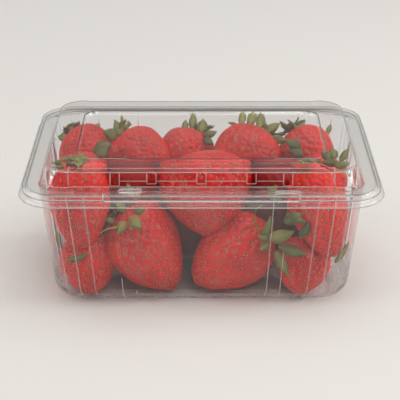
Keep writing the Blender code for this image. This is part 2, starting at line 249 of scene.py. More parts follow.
def makePlastic(name, crumple):
    paint = Paint(name)
    where = paint.where()
    soft = paint.noise(where, 60.0, 2.0)
    fine = paint.noise(where, 420.0, 2.0)
    axes = paint.node("SeparateXYZ", None, Vector=where)
    height = paint.wire(axes, "Z")
    low = paint.ramp(height, 0.012, 0.0, 0.0, crumple)
    # crumpled foot corners, where the sheet is thinnest
    reach = paint.sum("MAXIMUM", paint.wire(axes, "X"), paint.wire(axes, "X") * -1.0)
    start, top = plastic["crumpleFrom"], plastic["crumpleTop"]
    foot = paint.ramp(reach, start, start + 0.008, 0.0, crumple) * paint.ramp(height, top, top - 0.014)
    folds = paint.noise(where, 260.0, 3.0, 0.6)
    tint = paint.mix(soft, (*[c * 0.985 for c in plastic["tint"]], 1), (*plastic["tint"], 1))
    gloss = fine * 0.03 + plastic["roughness"] - 0.015
    bumps = paint.bump(0.35, 0.0006, soft * 0.35 + fine * (low + 0.02) + folds * foot * 4.5)
    body = paint.node("BsdfPrincipled", None, Base_Color=tint, Roughness=gloss, IOR=plastic["ior"],
                      Transmission_Weight=1.0, Normal=bumps)
    # light that only passes through to the fruit and the floor isn't bent by the thin sheet
    through = paint.node("BsdfTransparent", None, Color=(*plastic["shade"], 1))
    ray = paint.node("LightPath")
    passing = paint.sum("MAXIMUM", paint.wire(ray, "Is Shadow Ray"), paint.wire(ray, "Is Diffuse Ray"))
    # the front wall of the lid is drawn partly as a plain see-through sheet, without bending or reflection, and
    # stays clear
    fronts, feet, tops, ends = plastic["bandFade"]
    window = paint.ramp(paint.wire(axes, "Y"), *fronts) * paint.ramp(height, *feet)
    window = window * paint.ramp(height, *tops) * paint.ramp(reach, *ends)
    clear = paint.node("BsdfTransparent", None, Color=(*plastic["tint"], 1))
    seen = paint.node("MixShader", None, n0=window * plastic["clearBand"], n1=paint.wire(body), n2=paint.wire(clear))
    both = paint.node("MixShader", None, n0=passing, n1=paint.wire(seen), n2=paint.wire(through))
    return paint.output(both)


# pressed ribs and rolled edges, painted whitish: the whitish colour is a painted highlight, standing in for the
# bright lines of light along the bends
def makeRibHighlightPaint():
    paint = Paint("ribHighlightPlastic")
    where = paint.where()
    cloud = paint.noise(where, 300.0, 3.0)
    colour = paint.mix(cloud, (*[c * 0.9 for c in plastic["rib"]], 1), (*plastic["rib"], 1))
    bumps = paint.bump(0.2, 0.0002, cloud)
    body = paint.node("BsdfPrincipled", None, Base_Color=colour, Roughness=0.16 + cloud * 0.12, IOR=plastic["ior"],
                      Transmission_Weight=plastic["ribClear"], Normal=bumps)
    return paint.output(body)


# channels of a level that aren't given are 0
def level(half, corner, z, **features):
    return {"half": half, "corner": corner, "z": z, **features}


def between(a, b, t):
    return {key: a.get(key, 0.0) * (1 - t) + b.get(key, 0.0) * t for key in {*a, *b}}


def spanOf(a, b):
    return math.hypot(a["half"] - b["half"], a["z"] - b["z"])


# rounds every bend of a wall's profile and fills in its long stretches
def refined(levels, bend, step):
    out = [levels[0]]
    for before, here, after in zip(levels, levels[1:], levels[2:]):
        d1 = min(0.45, bend / max(spanOf(before, here), 0.001))
        d2 = min(0.45, bend / max(spanOf(here, after), 0.001))
        a, b = between(here, before, d1), between(here, after, d2)
        for t in (0.0, 0.33, 0.67, 1.0):
            out.append(between(between(a, here, t), between(here, b, t), t))
    out.append(levels[-1])
    full = [out[0]]
    for a, b in zip(out, out[1:]):
        span = spanOf(a, b)
        count = max(1, round(span / step))
        shares = [i / count for i in range(1, count + 1)]
        if span > 1.0:  # close to both ends, so that bends and edges stay crisp
            shares = [0.25 / span] + [s for s in shares[:-1] if 0.6 < s * span < span - 0.6] + [1 - 0.25 / span, 1.0]
        full += [between(a, b, s) for s in shares]
    return full


# places along the four sides and corners: (side, share of the straight half, turn in degrees)
def stationsOf(straights, spacing, marks, cornerSteps):
    stations = []
    for side in range(4):
        straight = straights[side % 2]
        count = round(2 * straight / spacing)
        shares = {round(-1 + 2 * i / count, 5): 0 for i in range(count + 1)}
        for mark in marks(side):
            for offset in (-0.9, -0.45, 0.0, 0.45, 0.9):
                shares[round(mark + offset / straight, 5)] = 1
        kept = []
        for share in sorted(s for s in shares if -1 < s < 1):
            close = kept and (share - kept[-1]) * straight < 0.28
            if close and shares[share] and not shares[kept[-1]]:
                kept[-1] = share
            elif not close:
                kept.append(share)
        stations += [(side, share, 0.0) for share in kept]
        stations += [(side, 1.0, 90.0 * i / cornerSteps) for i in range(cornerSteps + 1)]
    return stations


sides = ((Vector((0, -1)), Vector((1, 0))), (Vector((1, 0)), Vector((0, 1))),
         (Vector((0, 1)), Vector((-1, 0))), (Vector((-1, 0)), Vector((0, -1))))
shell = {"widthOverDepth": 28.7, "hingeHalf": 68.0, "hingeFade": 6.0, "sheet": 0.45}


def shellPoint(lvl, station, weights, steady=0.0, reference=1.0):
    side, share, turn = station
    normal, along = sides[side]
    halfs = (lvl["half"], lvl["half"] - shell["widthOverDepth"])
    length, distance = (halfs[0], halfs[1]) if side % 2 == 0 else (halfs[1], halfs[0])
    straight = length - lvl["corner"]
    if turn:
        angle = math.radians(turn)
        normal, point = (normal * math.cos(angle) + along * math.sin(angle),
                         along * straight + normal * (distance - lvl["corner"]))
        point = point + normal * lvl["corner"]
    else:
        place = share * straight
        if steady and side % 2 == 0:  # upright lines in the middle, so that the slots stay square
            inner = steady * reference
            place = share * reference
            if abs(place) > inner:
                beyond = (abs(place) - inner) / (reference - inner)
                place = math.copysign(inner + beyond * (straight - inner), place)
        point = along * place + normal * distance
    outward, rise = weights(lvl, side, share, turn, point)
    moved = point + normal * outward
    return Vector((moved.x, moved.y, lvl["z"] + rise)) * mm


# open shell: one ring of edges, extruded once for every level
def loft(rings):
    bm = bmesh.new()
    loop = bmesh.ops.create_circle(bm, segments=len(rings[0]), radius=1.0)["verts"]
    edges = list(bm.edges)
    for vert, point in zip(loop, rings[0]):
        vert.co = point
    for ring in rings[1:]:
        loop, edges = extrudeRing(bm, edges, loop)
        for vert, point in zip(loop, ring):
            vert.co = point
    bmesh.ops.edgeloop_fill(bm, edges=edges)
    bmesh.ops.recalc_face_normals(bm, faces=bm.faces)
    bm.normal_update()
    return bm


def thicken(obj, sheet, offset=-1.0):
    solid = obj.modifiers.new("sheet", "SOLIDIFY")
    solid.thickness = sheet * mm
    solid.offset = offset


def hingeWeight(side, point):
    if side != 2:
        return 0.0
    return 1.0 - smoothStep(shell["hingeHalf"], shell["hingeHalf"] + shell["hingeFade"], abs(point.x))


# round rib along a path of points in millimetres, moved towards the middle by the amount of inward,
# its radius shrinking by the share of thin on the way
def addBead(bm, path, radius, closed=False, inward=0.0, corners=6, thin=0.0):
    first = bmesh.ops.create_circle(bm, segments=corners, radius=radius * mm)["verts"]
    local = [v.co.copy() for v in first]
    edges = list({e for v in first for e in v.link_edges})
    startEdges, loop, count = edges, first, len(path)
    for i, point in enumerate(path):
        ahead = path[(i + 1) % count] if closed else path[min(i + 1, count - 1)]
        behind = path[i - 1] if closed or i else path[0]
        turn = (ahead - behind).to_track_quat("Z", "X").to_matrix()
        if i:
            loop, edges = extrudeRing(bm, edges, loop)
        middle = point - Vector((point.x, point.y, 0)).normalized() * inward
        for vert, co in zip(loop, local):
            vert.co = middle * mm + turn @ (co * (1 - thin * i / count))
    if closed:
        bmesh.ops.bridge_loops(bm, edges=startEdges + edges)
        return
    for cap in (startEdges, edges):
        bmesh.ops.edgeloop_fill(bm, edges=cap)


# tub
frontFlutes, sideFlutes = ((0.526, 0.635), (0.855, 0.979)), ((0.36, 0.56),)
tub = {
    "flutes": (frontFlutes, sideFlutes, frontFlutes, sideFlutes), "fluteDepth": 1.0, "fluteSlope": 0.012,
    "wallTop": 83.2, "wallTopAt": 66.4, "wallFoot": 78.4, "corner": 13.0, "fillet": 12.0,
    "skirtDrop": 2.0, "skirtInset": 0.35, "wave": 0.55,
    "ribTop": 70.0, "shortRibs": {-0.635: 20.0, -0.526: 9.0, 0.635: 36.0}, "sparks": 46,
}


def wallHalf(z):
    foot, top = tub["wallFoot"], tub["wallTop"]
    return foot + (top - foot) * (z - tub["fillet"]) / (tub["wallTopAt"] - tub["fillet"])


def inFlute(side, share):
    slope = tub["fluteSlope"]
    return max(smoothStep(a - slope, a + slope, abs(share)) * (1 - smoothStep(b - slope, b + slope, abs(share)))
               for a, b in tub["flutes"][side])


def tubWeights(lvl, side, share, turn, point):
    outward = rise = 0.0
    if not turn:
        outward -= tub["fluteDepth"] * lvl.get("flute", 0.0) * inFlute(side, share)
    hinge = hingeWeight(side, point)
    outward += tub["skirtInset"] * lvl.get("skirt", 0.0) * hinge
    rise += tub["skirtDrop"] * lvl.get("skirt", 0.0) * hinge
    wave = 0.5 + 0.25 * math.sin(0.95 * (point.x + point.y)) + 0.25 * math.sin(2.3 * (point.x - point.y))
    outward -= tub["wave"] * lvl.get("wavy", 0.0) * wave
    rise += tub["wave"] * lvl.get("wavy", 0.0) * wave
    return outward, rise


# level on the rounded foot of the wall, from 0 degrees at the wall to 90 at the base
def footLevel(angle, **features):
    turn = math.radians(angle)
    half = tub["wallFoot"] - tub["fillet"] + tub["fillet"] * math.cos(turn)
    corner = tub["corner"] - (tub["wallFoot"] - half) * 0.45
    return level(half, corner, tub["fillet"] * (1 - math.sin(turn)), **features)


def fluteMarks(side):
    return [s * m for band in tub["flutes"][side] for m in band for s in (-1, 1)]


def makeTub(material, ribHighlightMaterial):
    c, foot = tub["corner"], tub["fillet"]
    levels = [
        level(93.15, 18.9, 63.7, skirt=1),
        level(89.65, 16.9, 65.7),
        level(89.5, 16.9, 68.0),
        level(89.05, 16.9, 68.45),
        level(83.9, c + 0.5, 68.45),
        level(83.2, c, 67.75),
        level(wallHalf(64.9), c, 64.9, flute=1),
        level(wallHalf(foot), c, foot, flute=1),
    ]
    for angle in range(15, 90, 15):
        levels.append(footLevel(angle, flute=max(0.0, 1 - angle / 40), wavy=1.0 if angle == 60 else 0.0))
    centre = tub["wallFoot"] - foot
    ribLevels = levels[6:12]
    levels += [level(centre, c - 5.5, 0.0), level(centre - 2.0, c - 6.0, 0.0), level(centre - 3.5, c - 6.5, 0.9),
               level(centre - 8.0, c - 7.0, 0.9)]
    levels = refined(levels, 0.5, 4.0)
    stations = stationsOf((70.2, 41.5), 1.5, fluteMarks, 14)
    rings = [[shellPoint(lvl, s, tubWeights) for s in stations] for lvl in levels]
    bm = loft(rings)
    wall = min(bm.faces, key=lambda f: (f.calc_center_median() - Vector((0, -0.052, 0.04))).length)
    if wall.normal.y > 0:
        bmesh.ops.reverse_faces(bm, faces=bm.faces)
    obj = finishObject("clearTub", bm, material)
    thicken(obj, shell["sheet"])
    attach(obj, "tub")
    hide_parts("tub")
    print("tub", len(stations), "x", len(levels))
    # ribs down the flutes and the corners, and the rolled edge of the skirt
    bm = bmesh.new()
    upright = refined(ribLevels, 0.5, 4.0)
    places = [(side, share, 0.0) for side in range(4) for band in tub["flutes"][side]
              for m in band for share in (-m, m)]
    places += [(side, 1.0, turn) for side in range(4) for turn in (25.0, 65.0)]
    for place in places:
        top = tub["shortRibs"].get(place[1], tub["ribTop"]) if place[0] % 2 == 0 else tub["ribTop"]
        path = [shellPoint(lvl, place, tubWeights) / mm for lvl in upright if lvl["z"] < top]
        addBead(bm, path, plastic["ribRadius"], inward=0.2)
    # edge of the skirt, edge of the ledge, wavy line round the base
    base = footLevel(72, wavy=1)
    base.update(corner=c - 4.6, z=base["z"] + 0.25)
    for ring, share in ((level(92.85, 18.7, 63.95, skirt=1), 0.8), (level(88.9, 16.9, 68.2), 0.7), (base, 0.9)):
        path = [shellPoint(ring, s, tubWeights) / mm for s in stations[::2]]
        addBead(bm, path, plastic["ribRadius"] * share, closed=True)
    # small creases along the base edge, with the whitish rib paint as painted glints
    draw = random.Random(4)
    for i in range(tub["sparks"]):
        side = draw.choice((0, 0, 0, 1, 2, 3))
        share, angle = draw.uniform(-1, 1), draw.uniform(35, 70)
        path = []
        for step in range(3):
            crease = footLevel(angle + step * draw.uniform(-7, 7))
            share = min(1.0, share + 0.008 * draw.uniform(0.3, 1.6))
            path.append(shellPoint(crease, (side, share, 0.0), tubWeights) / mm)
        addBead(bm, path, plastic["ribRadius"] * draw.uniform(0.7, 1.4), inward=0.3, thin=0.5)
    ribs = finishObject("tubRibs", bm, ribHighlightMaterial)
    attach(ribs, "tub")


# lid
lid = {
    "lipReach": 0.5, "tabReach": 1.3, "hingeReach": 2.4, "tabHalf": 49.0,
    "step": 1.0, "groove": 0.8, "stepEnd": 0.98, "straights": (69.0, 41.0), "reference": 69.0, "steady": 0.75,
    "front": ((82.0, 70.4), (79.9, 77.3)),  # half width and height at the foot and the top of the wall
    "vents": ((-43.7, 70.6), (-25.2, 71.6), (0.0, 71.6), (25.2, 71.6), (43.7, 70.6)),  # middle, foot
    "ventWidth": 4.6, "ventTop": 76.7,
    "catches": ((-35.8, 11.0, -60.6, -55.4), (43.2, 11.4, -61.0, -57.6)), "catchHeight": 0.9,
    # sunk panel on the top: half sizes, and rows of inset, corner, height
    "panelHalf": (65.0, 34.0),
    "panel": ((-0.4, 8.2, 78.0), (0.0, 8.0, 78.0), (0.2, 7.8, 77.95), (0.4, 7.7, 77.7), (1.1, 6.9, 76.7),
              (1.3, 6.7, 76.45), (1.6, 6.4, 76.4), (1.9, 6.2, 76.4), (4.0, 5.0, 76.4)),
}
# bright lines on the lid's front, as points (y, z), (x, y) or the ends in x
lidLines = {
    "stepAt": 67.2, "step": ((-45.3, 77.55), (-49.8, 77.4)), "stepFront": (76.9, 70.6),
    "across": ((-45.3, 77.1), (-50.0, 77.05)), "cornerStart": (-50.6, 77.3),
    "creaseAt": 72.9, "creases": ((-41.2, -27.7), (-22.7, -2.5), (2.5, 22.7), (27.7, 41.2)),
    "panelAt": 77.75,
    "panel": ((37.5, -36.2), (37.9, -34.9), (39.5, -34.3), (50.0, -34.3), (58.5, -34.2), (62.0, -32.6)),
    "catchAt": 70.35, "tabEnd": ((-61.0, 70.1), (-62.1, 70.0), (-63.0, 69.5), (-63.4, 67.6)),
}


def lidWeights(lvl, side, share, turn, point):
    outward = rise = 0.0
    inner = 0.0 if turn or side % 2 else 1 - smoothStep(0.960, 0.990, abs(share))
    lip = lvl.get("lip", 0.0)
    if lip:
        reach = lid["lipReach"]
        if side == 0 and not turn:
            tab = 1 - smoothStep(lid["tabHalf"] - 0.4, lid["tabHalf"] + 0.4, abs(point.x))
            reach += (lid["tabReach"] - reach) * tab
        hinge = hingeWeight(side, point)
        outward += lip * (reach + (lid["hingeReach"] - reach) * hinge)
    outward -= lid["step"] * lvl.get("stepped", 0.0) * inner
    if side == 0:
        rise -= lid["groove"] * lvl.get("groove", 0.0) * inner
    return outward, rise


def lidMarks(side):
    marks = []
    if side == 0:
        for x, foot in lid["vents"]:
            marks += [(x + s * lid["ventWidth"] / 2) / lid["reference"] for s in (-1, 1)]
        marks += [-0.71, 0.71]
    if side % 2 == 0:
        marks += [-lid["stepEnd"], lid["stepEnd"]]
    return marks


def nearVent(point, x):
    return point.y < -0.050 and point.z > 0.0701 and abs(point.x - x * mm) < 0.0045


def vertsOf(item):
    return [item] if isinstance(item, bmesh.types.BMVert) else item.verts


def makeLid(material, ribHighlightMaterial):
    (foot, footAt), (top, topAt) = lid["front"]
    levels = [
        level(91.1, 16.9, 67.2, lip=1),
        level(91.1, 16.9, 67.35),
        level(91.1, 16.9, 69.5),
        level(90.5, 16.5, 70.0),
        level(82.4, 13.0, 70.0, stepped=1),
        level(foot, 13.0, footAt, stepped=1),
        level(top, 13.0, topAt, stepped=1, groove=1),
        level(79.1, 12.5, 78.0, stepped=1, groove=1),
        level(74.7, 11.0, 78.0, stepped=1, groove=1),
        level(72.8, 11.0, 78.0),
    ]
    levels = refined(levels, 0.45, 1.2)
    stations = stationsOf(lid["straights"], 1.5, lidMarks, 14)
    rings = [[shellPoint(lvl, s, lidWeights, lid["steady"], lid["reference"]) for s in stations] for lvl in levels]
    # the panel is a rounded rectangle of its own
    for inset, corner, z in lid["panel"]:
        ring = []
        for side, share, turn in stations:
            normal, along = sides[side]
            halfs = [half - inset for half in lid["panelHalf"]]
            length, distance = halfs if side % 2 == 0 else halfs[::-1]
            straight = length - corner
            if turn:
                direction = normal * math.cos(math.radians(turn)) + along * math.sin(math.radians(turn))
                point = along * straight + normal * (distance - corner) + direction * corner
            else:
                point = along * share * straight + normal * distance
            ring.append(Vector((point.x, point.y, z)) * mm)
        rings.append(ring)
    bm = loft(rings)
    cap = max(bm.faces, key=lambda f: f.calc_area())
    if cap.normal.z < 0:
        bmesh.ops.reverse_faces(bm, faces=bm.faces)
    # vents: the sheet is cut, and its thickness closes the rims
    for x, foot in lid["vents"]:
        for z in (foot, lid["ventTop"]):
            band = [g for kind in (bm.faces, bm.edges, bm.verts) for g in kind
                    if all(nearVent(v.co, x) for v in vertsOf(g))]
            bmesh.ops.bisect_plane(bm, geom=band, plane_co=(0, 0, z * mm), plane_no=(0, 0, 1))
    slots = []
    for face in bm.faces:
        at = face.calc_center_median() / mm
        for x, foot in lid["vents"]:
            inside = at.y < -50 and abs(at.x - x) < lid["ventWidth"] / 2 and foot < at.z < lid["ventTop"]
            if inside and abs(face.normal.y) > 0.5:
                slots.append(face)
    bmesh.ops.delete(bm, geom=slots, context="FACES")
    for vert in bm.verts:  # catches formed on the ledge
        p = vert.co / mm
        if p.y < -55 and 69.4 < p.z < 70.6:
            for x, width, front, back in lid["catches"]:
                high = 1 - smoothStep(width / 2 - 0.6, width / 2 + 0.5, abs(p.x - x))
                high *= smoothStep(front - 0.4, front + 0.3, p.y) * (1 - smoothStep(back - 0.3, back + 0.5, p.y))
                vert.co.z += lid["catchHeight"] * high * mm
    obj = finishObject("clearLid", bm, material)
    thicken(obj, shell["sheet"])
    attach(obj, "lid")
    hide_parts("lid")
    print("lid", len(stations), "x", len(rings))
    makeLidRibs(stations, ribHighlightMaterial)


# point on the outside of the lid's front wall
def lidFront(x, z):
    (foot, footAt), (top, topAt) = lid["front"]
    half = foot + (top - foot) * (z - footAt) / (topAt - footAt)
    return Vector((x, -(half - shell["widthOverDepth"] - lid["step"]) + 0.12, z))


def makeLidRibs(stations, ribHighlightMaterial):
    bm = bmesh.new()
    r, top, end = plastic["ribRadius"], lid["ventTop"], lidLines["stepAt"]
    for x, foot in lid["vents"]:
        w = lid["ventWidth"] / 2
        addBead(bm, [lidFront(*at) for at in ((x - w, top), (x - w, foot), (x + w, foot), (x + w, top))], r * 0.8)
    for side in (-1, 1):  # step at both ends of the front, and the panel's front edge
        path = [Vector((side * end, y, z)) for y, z in lidLines["step"]]
        addBead(bm, path + [lidFront(side * end, z) for z in lidLines["stepFront"]], r * 0.9)
        addBead(bm, [Vector((side * x, y, lidLines["panelAt"])) for x, y in lidLines["panel"]], r)
    for y, z in lidLines["across"]:
        addBead(bm, [Vector((x, y, z)) for x in (-end, end)], r * 0.8)
    for crease in lidLines["creases"]:
        addBead(bm, [lidFront(x, lidLines["creaseAt"]) for x in crease], r * 0.6)
    # foot of the wall, and the lip
    for ring, share in ((level(82.2, 13.0, 70.15, stepped=1), 0.7), (level(90.95, 16.9, 67.45, lip=1), 0.8)):
        path = [shellPoint(ring, s, lidWeights, lid["steady"], lid["reference"]) / mm for s in stations[::2]]
        addBead(bm, path, r * share, closed=True)
    for x, width, front, back in lid["catches"]:  # rounded outline of each catch
        outline = []
        for step in range(24):
            angle = math.tau * step / 24
            dx, dy = math.cos(angle), math.sin(angle)
            stretch = 1 / max(abs(dx) ** 4 + abs(dy) ** 4, 0.01) ** 0.25
            y = (front + back) / 2 + dy * stretch * (back - front) / 2
            outline.append(Vector((x + dx * stretch * width / 2, y, lidLines["catchAt"])))
        addBead(bm, outline, r * 0.9, closed=True)
    for x in (-lid["tabHalf"], lid["tabHalf"]):
        addBead(bm, [Vector((x, y, z)) for y, z in lidLines["tabEnd"]], r * 1.5)
    for side in (-1, 1):  # bright bend round the front corners
        corner = level(79.7, 13.0, 77.35)
        path = [Vector((end, *lidLines["cornerStart"]))]
        path += [shellPoint(corner, (0, 1.0, turn), lidWeights) / mm for turn in range(5, 75, 10)]
        addBead(bm, [Vector((side * abs(p.x), p.y, p.z)) for p in path], r, thin=0.5)
    ribs = finishObject("lidRibs", bm, ribHighlightMaterial)
    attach(ribs, "lid")


# living hinge
hinge = {"half": 68.0, "top": 67.0, "foot": 65.75, "y": 64.3, "thickness": 0.25}


def makeHinge(material):
    bm = bmesh.new()
    bmesh.ops.create_grid(bm, x_segments=68, y_segments=6, size=0.5)
    for vert in bm.verts:
        t = vert.co.y + 0.5
        bulge = math.sin(math.pi * t)
        vert.co = Vector((vert.co.x * 2 * hinge["half"], hinge["y"] + 0.2 * bulge,
                          hinge["foot"] + (hinge["top"] - hinge["foot"]) * t)) * mm
    bmesh.ops.recalc_face_normals(bm, faces=bm.faces)
    bmesh.ops.solidify(bm, geom=bm.faces[:], thickness=hinge["thickness"] * mm)
    bmesh.ops.recalc_face_normals(bm, faces=bm.faces)
    obj = finishObject("hingeStrip", bm, material)
    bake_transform(obj, "tub", "lid", start=(0, hinge["y"] * mm, 0.0660), end=(0, hinge["y"] * mm, 0.0669))


tubPlastic = makePlastic("tubPlastic", 1.0)
lidPlastic = makePlastic("lidPlastic", 0.0)
ribHighlightPlastic = makeRibHighlightPaint()
makeTub(tubPlastic, ribHighlightPlastic)
makeLid(lidPlastic, ribHighlightPlastic)
makeHinge(lidPlastic)
print("plastic ready")


# strawberries
fruit = {
    "wallGap": 0.75, "seedSpacing": 3.7, "seedSize": (0.52, 0.35, 0.28), "unevenness": 0.035,
    "dimpleRadius": 1.5, "dimpleDepth": 0.8, "ridgeFrom": 0.9, "ridgeTo": 1.9, "ridgeHeight": 0.12,
    # the red in the dents is painted shade in the dimples round the seeds
    "deepRed": (0.62, 0.002, 0.003, 1), "brightRed": (0.86, 0.008, 0.004, 1), "dimpleShadeRed": (0.28, 0.002, 0.002, 1),
    # the ring colour is a painted highlight round the seeds
    "ring": (0.98, 0.42, 0.32, 1), "shoulder": (0.85, 0.20, 0.05, 1), "coat": 0.45,
    "seed": (0.72, 0.34, 0.09, 1), "paleSeed": (0.88, 0.60, 0.24, 1), "seedEdge": (0.45, 0.12, 0.03, 1),
    # two berries deep in the heap get painted shade: a darker red over this share, and less coat
    "shadedBerries": (19, 20), "paintedShadeRed": (0.10, 0.006, 0.003, 1), "paintedShadeShare": 0.6,
}
# centre, radius, half length, taper, way the tip points, sepals, detail
berries = (
    ((-28.6, -29, 22.6), 20.5, 25.0, 0.34, (0.62, -0.45, -0.80), 9, 6),
    ((16.0, -28, 19.6), 20.0, 24.5, 0.30, (-0.78, -0.45, -0.45), 9, 6),
    ((-60.4, -32, 15.6), 15.5, 17.0, 0.25, (0.15, -0.75, -0.60), 8, 6),
    ((54.0, -33, 15.0), 14.5, 16.0, 0.25, (-0.20, -0.75, -0.60), 8, 6),
    ((-63.5, -34, 50.3), 16.0, 23.0, 0.30, (0.02, -0.20, -1.00), 9, 6),
    ((62.4, -34, 46.8), 15.5, 24.5, 0.22, (0.30, -0.20, -1.00), 9, 6),
    ((2.5, -20, 51.9), 24.5, 22.0, 0.30, (0.12, -0.50, -0.90), 0, 6),
    ((-62.4, 24, 54.6), 15.5, 18.0, 0.25, (0.60, -0.50, -0.50), 9, 6),
    ((-33.8, 20, 51.4), 18.5, 20.0, 0.25, (0.50, -0.50, -0.60), 9, 6),
    ((-9.5, 31, 49.1), 17.0, 18.0, 0.25, (-0.40, -0.50, -0.60), 9, 6),
    ((23.4, 20, 52.0), 20.0, 21.0, 0.25, (-0.60, -0.50, -0.50), 10, 6),
    ((61.2, 24, 54.0), 15.5, 18.0, 0.25, (0.50, -0.50, -0.60), 9, 6),
    ((-60.0, 26, 19.5), 17.5, 19.0, 0.25, (0.30, 0.60, -0.60), 0, 5),
    ((-24.0, 27, 18.5), 18.0, 20.0, 0.28, (-0.60, 0.50, -0.50), 0, 5),
    ((11.0, 28, 17.5), 17.0, 18.0, 0.25, (0.50, 0.60, -0.40), 0, 5),
    ((42.0, 27, 19.0), 16.5, 20.0, 0.25, (0.10, 0.50, -0.80), 0, 5),
    ((62.0, 2, 22.0), 15.0, 19.0, 0.25, (0.30, -0.30, -0.90), 0, 5),
    ((-60.0, -3, 25.0), 14.5, 19.0, 0.25, (-0.30, 0.20, -0.90), 0, 5),
    ((-63.5, -4, 51.5), 14.5, 16.0, 0.25, (0.60, 0.30, -0.80), 0, 5),
    ((-36.0, -3, 46.0), 15.5, 17.0, 0.25, (0.80, 0.10, -0.50), 0, 5),
    ((40.5, -5, 46.0), 15.5, 18.0, 0.25, (-0.30, -0.20, -0.90), 0, 5),
    ((64.0, -3, 50.0), 14.0, 16.0, 0.25, (-0.60, 0.30, -0.80), 0, 5),
)


# room for the fruit in the shut punnet
room = {"floor": 1.5, "ceiling": 75.8, "rimAt": 65.7, "lidHalf": 78.7, "sheet": 0.6, "corner": 12.0}


# the point, in millimetres, moved in where needed so that it lies inside the shut punnet
def holdInside(point, gap):
    z = min(max(point.z, room["floor"] + gap), room["ceiling"] - gap)
    half = wallHalf(z) - tub["fluteDepth"]
    if z > room["rimAt"]:
        half = min(half, room["lidHalf"])
    if z < tub["fillet"]:
        half -= tub["fillet"] - math.sqrt(tub["fillet"] ** 2 - (tub["fillet"] - z) ** 2)
    half -= room["sheet"] + gap
    radius = room["corner"]
    straightX, straightY = half - radius, half - shell["widthOverDepth"] - radius
    pastX, pastY = abs(point.x) - straightX, abs(point.y) - straightY
    if pastX > 0 and pastY > 0:
        long = math.hypot(pastX, pastY)
        if long > radius:
            pastX, pastY = pastX * radius / long, pastY * radius / long
    pastX, pastY = min(pastX, radius), min(pastY, radius)
    return Vector((math.copysign(straightX + pastX, point.x), math.copysign(straightY + pastY, point.y), z))


class Berry:
    def __init__(self, number, row):
        centre, self.radius, self.half, self.taper, way, self.sepals, self.detail = row
        self.number = number
        self.place = Matrix.LocRotScale(Vector(centre), Vector(way).to_track_quat("Z", "X"), None)
        widest = (1 - math.sqrt(1 + 8 * self.taper ** 2)) / (4 * self.taper)
        self.largest = math.sqrt(1 - widest ** 2) * (1 - self.taper * widest)

    # radius of the fruit at a height from -1 at the stalk to 1 at the tip
    def around(self, share):
        return self.radius * math.sqrt(max(0.0, 1 - share ** 2)) * (1 - self.taper * share) / self.largest

    # point of the skin in the direction of a unit vector, in the fruit's own frame
    def skin(self, way, sink=0.0):
        flat = Vector((way.x, way.y))
        r = self.around(way.z)
        if flat.length > 1e-6:
            flat.normalize()
        lumps = noise.noise(way * 1.5 + Vector((self.number * 3.7, 0, 0))) * 1.4
        lumps += noise.noise(way * 3.4 + Vector((0, self.number * 2.3, 0))) * 0.6
        swell = 1 + fruit["unevenness"] * lumps
        return Vector((flat.x * r, flat.y * r, way.z * self.half)) * swell - self.out(way) * sink

    def out(self, way):
        n = Vector((way.x / self.radius, way.y / self.radius, way.z / self.half + 0.25 * self.taper / self.half))
        return n.normalized()

    # even spiral of seeds over the skin
    def seedWays(self):
        area = 4 * math.pi * self.radius * self.radius * (0.35 + 0.65 * self.half / self.radius)
        count = int(area / (0.866 * fruit["seedSpacing"] ** 2))
        ways = []
        for i in range(count):
            z = -0.93 + 1.92 * (i + 0.5) / count
            a = i * 2.399963 + 0.35 * noise.noise(Vector((i * 0.7, self.number, 0)))
            z += 0.02 * noise.noise(Vector((i * 0.9, 5.0, self.number)))
            z = min(z, 0.99)
            r = math.sqrt(1 - z * z)
            ways.append(Vector((r * math.cos(a), r * math.sin(a), z)))
        return ways


def addSkin(bm, berry, ways, dent, along, inner):
    tree = kdtree.KDTree(len(ways))
    for i, way in enumerate(ways):
        tree.insert(berry.skin(way), i)
    tree.balance()
    for vert in bmesh.ops.create_icosphere(bm, subdivisions=berry.detail, radius=1.0)["verts"]:
        way = vert.co.normalized()
        point = berry.skin(way)
        found, i, distance = tree.find(point)
        deep = 1 - smoothStep(0.15, fruit["dimpleRadius"], distance)
        ridge = smoothStep(fruit["ridgeFrom"], fruit["ridgeTo"], distance) * fruit["ridgeHeight"]
        vert[dent] = deep
        vert[along] = way.z
        # painted shade for the berries deep in the heap
        vert[inner] = fruit["paintedShadeShare"] if berry.number in fruit["shadedBerries"] else 0.0
        sunk = berry.skin(way, fruit["dimpleDepth"] * deep - ridge)
        held = holdInside(berry.place @ point, fruit["wallGap"])
        shift = held - berry.place @ point
        vert.co = (berry.place @ sunk + shift) * mm


def addSeeds(seeds, berry, ways):
    bm = bmesh.new()
    seedTone = bm.verts.layers.float.new("tone")
    long, wide, high = fruit["seedSize"]
    for i, way in enumerate(ways):
        normal = berry.out(way)
        toTip = Vector((0, 0, 1)) - normal * normal.z
        if toTip.length < 0.05:
            continue
        toTip.normalize()
        side = normal.cross(toTip)
        at = berry.skin(way, fruit["dimpleDepth"] * 0.72)
        size = 1 + 0.18 * math.sin(i * 2.1)
        turn = Matrix((side, toTip, normal)).transposed().to_4x4()
        frameOf = Matrix.Translation(at) @ turn @ Matrix.Diagonal((wide * size, long * size, high, 1))
        raw = berry.place @ at
        shift = holdInside(raw, fruit["wallGap"] + 0.3) - raw
        made = bmesh.ops.create_icosphere(bm, subdivisions=1, radius=1.0)["verts"]
        tone = 0.5 + 0.5 * math.sin(i * 12.9898 + berry.number)
        for vert in made:
            vert.co = (berry.place @ (frameOf @ vert.co) + shift) * mm
            vert[seedTone] = tone
    mesh = bpy.data.meshes.new("seedsOfOne")
    bm.to_mesh(mesh)
    bm.free()
    seeds.from_mesh(mesh)
    bpy.data.meshes.remove(mesh)


